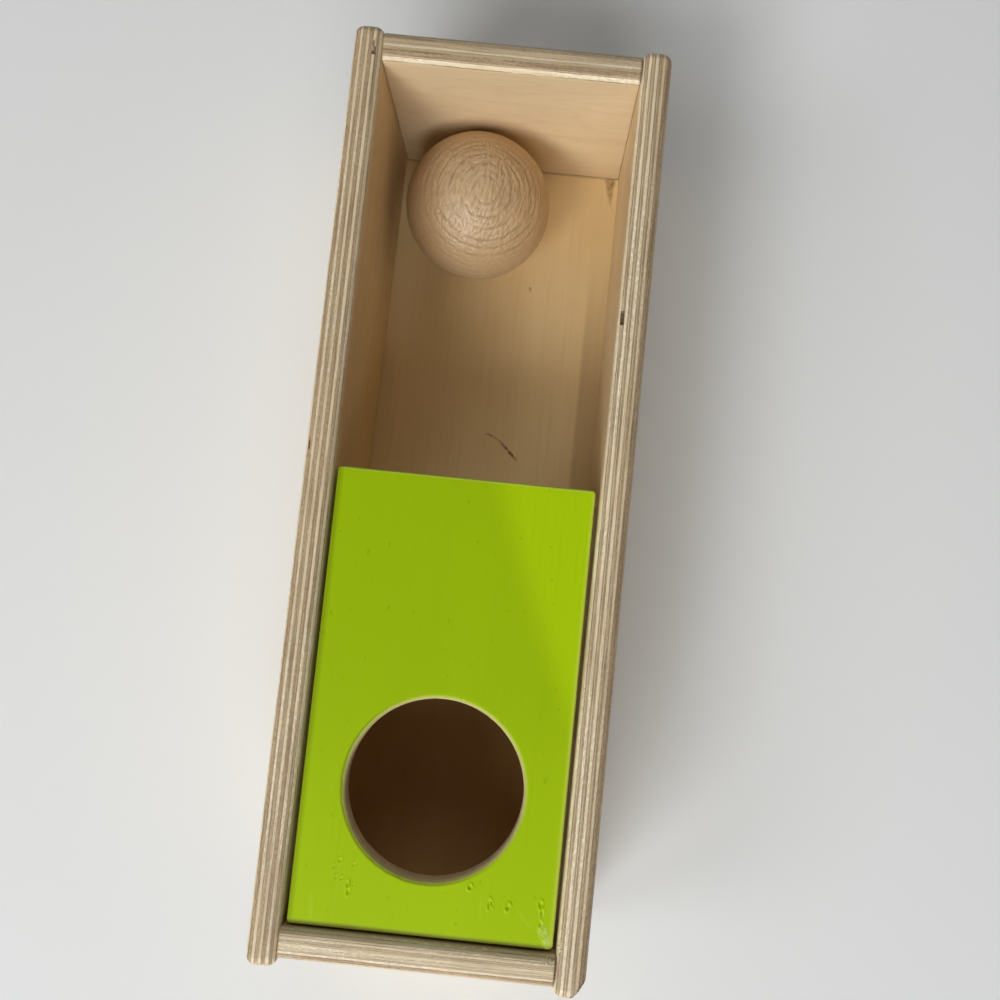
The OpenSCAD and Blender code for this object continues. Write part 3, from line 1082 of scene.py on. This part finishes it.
def cover_panel():
    """The painted panel: its face, eased edges, underside, and the wall and rounded rim of the hole."""
    spin_c, spin_s = cos(PANEL_SKEW), sin(PANEL_SKEW)
    r = PANEL_CORNER_R
    rings = []
    for cx, cy, nx, ny in panel_outline():
        edge = Vector((cx + nx * (r - PANEL_EASE), cy + ny * (r - PANEL_EASE)))
        out = Vector((cx + nx * r, cy + ny * r))
        rim = edge.normalized() * (HOLE_R + RIM_R)
        ring = []
        for k, (place, z) in enumerate(panel_line(rim, edge, out, Vector((nx, ny)))):
            x = HOLE_CENTRE.x + place.x * spin_c - place.y * spin_s
            y = HOLE_CENTRE.y + place.x * spin_s + place.y * spin_c
            spot = Vector((x, y, z))
            if k <= SPAN_STEPS:
                inside = min((place - rim).length, (place - edge).length)
                spot.z += panel_relief(spot) * min(1, inside / RELIEF_FADE)
            ring.append(spot)
        rings.append(ring)
    shape = skin(rings, closed=True)
    lay_mesh("cover_panel_shape", *shape, green_paint(), "green_paint", "box", "cover_panel")


# Ball

BALL_STEPS = 210
# The turned rings: how far each runs from the pole, in mm along the surface, and its strength
BALL_RINGS = (
    (5.7, 0.7), (8.4, 0.4), (11.5, 0.8), (13.9, 0.4), (16.4, 1), (19.3, 0.4), (22, 1), (25.6, 0.8),
    (29.8, 0.9), (33.3, 0.5), (36.4, 0.7), (41.2, 0.5), (46, 0.7), (52, 0.6),
)
RING_HALF = 1
FINE_PITCH = 1.15
FINE_SHARE = 0.16
POLE_FADE = 4
GROOVE_DEEP = 0.36 * MM
FIBRE_DEEP = 0.24 * MM
# The grain stands out most this far from the pole, in mm, and less and less over BELT_REACH beyond
BELT_MIDDLE = 9
BELT_REACH = 24


def ball_marks(out):
    """The turned grooves and the raised grain at a place on the ball, each from 0 to 1."""
    from_pole = BALL_R / MM * acos(held(out.normalized().dot(TURN_AXIS), -1))
    from_pole += 0.9 * noise(out * 55) + 0.6 * noise(out * 260)
    shown = held(0.85 + 1.3 * noise(out * 75 + Vector((9, 2, 5))), 0.5)
    shown *= held(0.9 + 1.2 * noise(out * 420), 0.6)
    groove = 0
    for ring, strength in BALL_RINGS:
        away = abs(from_pole - ring) / RING_HALF
        groove = max(groove, strength * max(0, 1 - away) ** 0.9)
    fine_line = abs(from_pole / FINE_PITCH - round(from_pole / FINE_PITCH)) * 2
    groove = max(groove * shown, FINE_SHARE * max(0, 1 - fine_line * 1.6))
    groove *= min(1, from_pole / POLE_FADE)
    along, beside, depth = out.dot(BALL_GRAIN), out.dot(BALL_RAY), out.dot(TURN_AXIS)
    strand = noise(Vector((along * 230, beside * 820, depth * 820)))
    thin = noise(Vector((along * 520, beside * 1500, depth * 1500)))
    belt = 0.4 + 0.6 * max(0, 1 - abs(from_pole - BELT_MIDDLE) / BELT_REACH)
    return groove, held(0.32 + 3.4 * strand + 1.6 * thin) * belt


def turned_ball():
    """The ball: six square patches swelled to a sphere, cut by turned grooves and raised grain."""
    verts, faces = [], []
    n = BALL_STEPS
    rows = [tan(a) for a in arc(-45, 45, n)]
    for axis in range(3):
        for sign in (1, -1):
            base = len(verts)
            for u in rows:
                for v in rows:
                    corner = [0, 0, 0]
                    corner[axis] = sign
                    corner[(axis + 1) % 3] = u * sign
                    corner[(axis + 2) % 3] = v
                    facing = Vector(corner).normalized()
                    groove, fibre = ball_marks(facing * BALL_R)
                    low_by = GROOVE_DEEP * groove + FIBRE_DEEP * fibre
                    verts.append(BALL_CENTRE + facing * (BALL_R - low_by))
            for i in range(n):
                for j in range(n):
                    a = base + i * (n + 1) + j
                    faces.append((a, a + n + 1, a + n + 2, a + 1))
    mesh = lay_mesh("turned_ball", verts, faces, turned_beech(), "ball_beech", "ball", "ball").data
    marks = [ball_marks(vert.co - BALL_CENTRE) for vert in mesh.vertices]
    for name, values in zip(("groove", "fibre"), zip(*marks)):
        mesh.attributes.new(name, "FLOAT", "POINT").data.foreach_set("value", values)


# Specks of glue

def crust(name, surface, across, along, height, material, slot):
    """A closed patch of raised specks. surface turns shares from 0 to 1 into a place and a normal."""
    top, foot = [], []
    for i in range(across + 1):
        for j in range(along + 1):
            u, v = i / across, j / along
            place, normal = surface(u, v)
            fade = min(1, 3 * u, 3 * (1 - u), 3 * v, 3 * (1 - v))
            lumps = 1.3 * noise(place * 900) + 0.6 * noise(place * 2600)
            top.append(place + normal * (height * fade * (0.5 + 1.4 * lumps) - 0.4 * height))
            foot.append(place - normal * 2.2 * height)
    n, size = along + 1, len(top)
    faces = []
    for i in range(across):
        for j in range(along):
            a = i * n + j
            faces.append((a, a + n, a + n + 1, a + 1))
            faces.append((size + a, size + a + 1, size + a + n + 1, size + a + n))
    border = list(range(n)) + [i * n + along for i in range(1, across + 1)]
    border += [across * n + j for j in range(along - 1, -1, -1)] + [i * n for i in range(across - 1, 0, -1)]
    for a, b in zip(border, border[1:] + border[:1]):
        faces.append((a, b, size + b, size + a))
    lay_mesh(name, top + foot, faces, material, slot, "box")


def side_roundover(u, v):
    """The right side board's inner roundover at the near corner."""
    angle = radians(118 + 44 * u)
    core = Vector((RIGHT_LOW.x + EDGE_R, (-168.6 + 7.4 * v) * MM, RIGHT_HIGH.z - EDGE_R))
    normal = Vector((cos(angle), 0, sin(angle)))
    return core + normal * EDGE_R, normal


def end_roundover(u, v):
    """The near end board's inner roundover at its right end."""
    angle = radians(30 + 60 * u)
    core = Vector(((47 + 4.3 * v) * MM, NEAR_HIGH.y - EDGE_R, NEAR_HIGH.z - EDGE_R))
    normal = Vector((0, cos(angle), sin(angle)))
    return core + normal * EDGE_R, normal


# Pieces

def dress(material, *nodes):
    """Gives CAD nodes their finish."""
    for node in nodes:
        shown = frame["nodes"][node]
        if not shown.material_slots:
            shown.data.materials.append(material)
        for slot in shown.material_slots:
            slot.material = material


side_board("left_side_board", LEFT_LOW, LEFT_HIGH, -1, LEFT_PLIES, LEFT_VOIDS)
side_board("right_side_board", RIGHT_LOW, RIGHT_HIGH, 1, RIGHT_PLIES, RIGHT_VOIDS)
end_board("far_end_board", FAR_LOW, FAR_HIGH, 1, FAR_PLIES, FAR_FACES)
end_board("near_end_board", NEAR_LOW, NEAR_HIGH, -1, NEAR_PLIES, FACES)
cover_panel()
turned_ball()
glue = dried_glue()
crust("side_glue_specks", side_roundover, 26, 60, 0.16 * MM, glue, "side_plywood")
crust("end_glue_specks", end_roundover, 26, 40, 0.14 * MM, glue, "end_plywood")
dress(floor_veneer(), "ramp_floor")
dress(planed_wood("rest_wood", REST_WOOD), "left_panel_rest", "right_panel_rest")
dowels = ("far_left_dowels", "far_right_dowels", "near_left_dowels", "near_right_dowels")
dress(planed_wood("dowel_wood", DOWEL_WOOD), *dowels)
